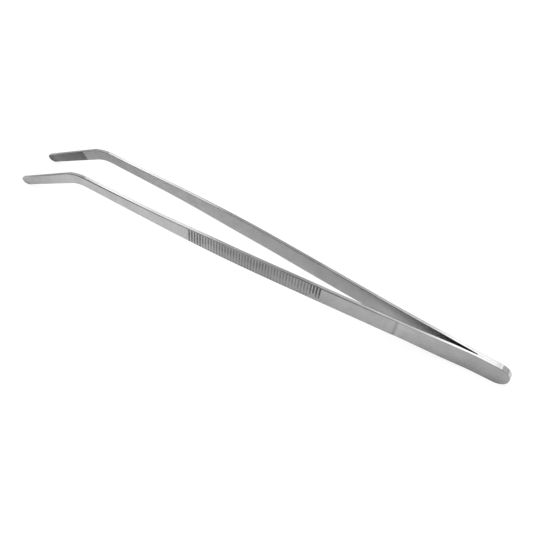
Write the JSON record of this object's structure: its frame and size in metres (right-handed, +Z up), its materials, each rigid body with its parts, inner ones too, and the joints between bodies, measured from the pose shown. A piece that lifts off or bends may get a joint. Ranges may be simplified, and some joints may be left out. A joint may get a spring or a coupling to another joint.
{
  "type": "aquascaping tweezers",
  "caption": "Long sprung steel tweezers with a welded tail, grooved finger grips and down-bent serrated tips.",
  "frame": {"origin": "middle of the footprint, on the surface that the tweezers stand on", "axes": "+X runs towards the welded tail and the tips point to -X; +Y runs from the near strip to the far strip; +Z is up, away from the surface"},
  "size_m": [0.2656, 0.0226, 0.0255],
  "materials": {
    "strip_steel": "satin stainless, brushed lengthwise, polished edges",
    "weld_steel": "weld ground flush and polished"
  },
  "bodies": {
    "tail": {"near_tail_leaf": "strip_steel", "far_tail_leaf": "strip_steel", "tail_weld": "weld_steel"},
    "near_arm": {"near_arm": "strip_steel"},
    "far_arm": {"far_arm": "strip_steel"}
  },
  "joints": [
    {"name": "near_arm_flex", "type": "hinge", "parent": "tail", "child": "near_arm", "pos_m": [0.09891, -0.002, 0.00773], "axis": [-0.0807, 0, -0.9967], "range_deg": [0, 2.36], "stiffness_Nm_per_rad": 5.6},
    {"name": "far_arm_flex", "type": "hinge", "parent": "tail", "child": "far_arm", "pos_m": [0.09891, 0.002, 0.00773], "axis": [0.0807, 0, 0.9967], "range_deg": [0, 2.36], "stiffness_Nm_per_rad": 5.6}
  ]
}
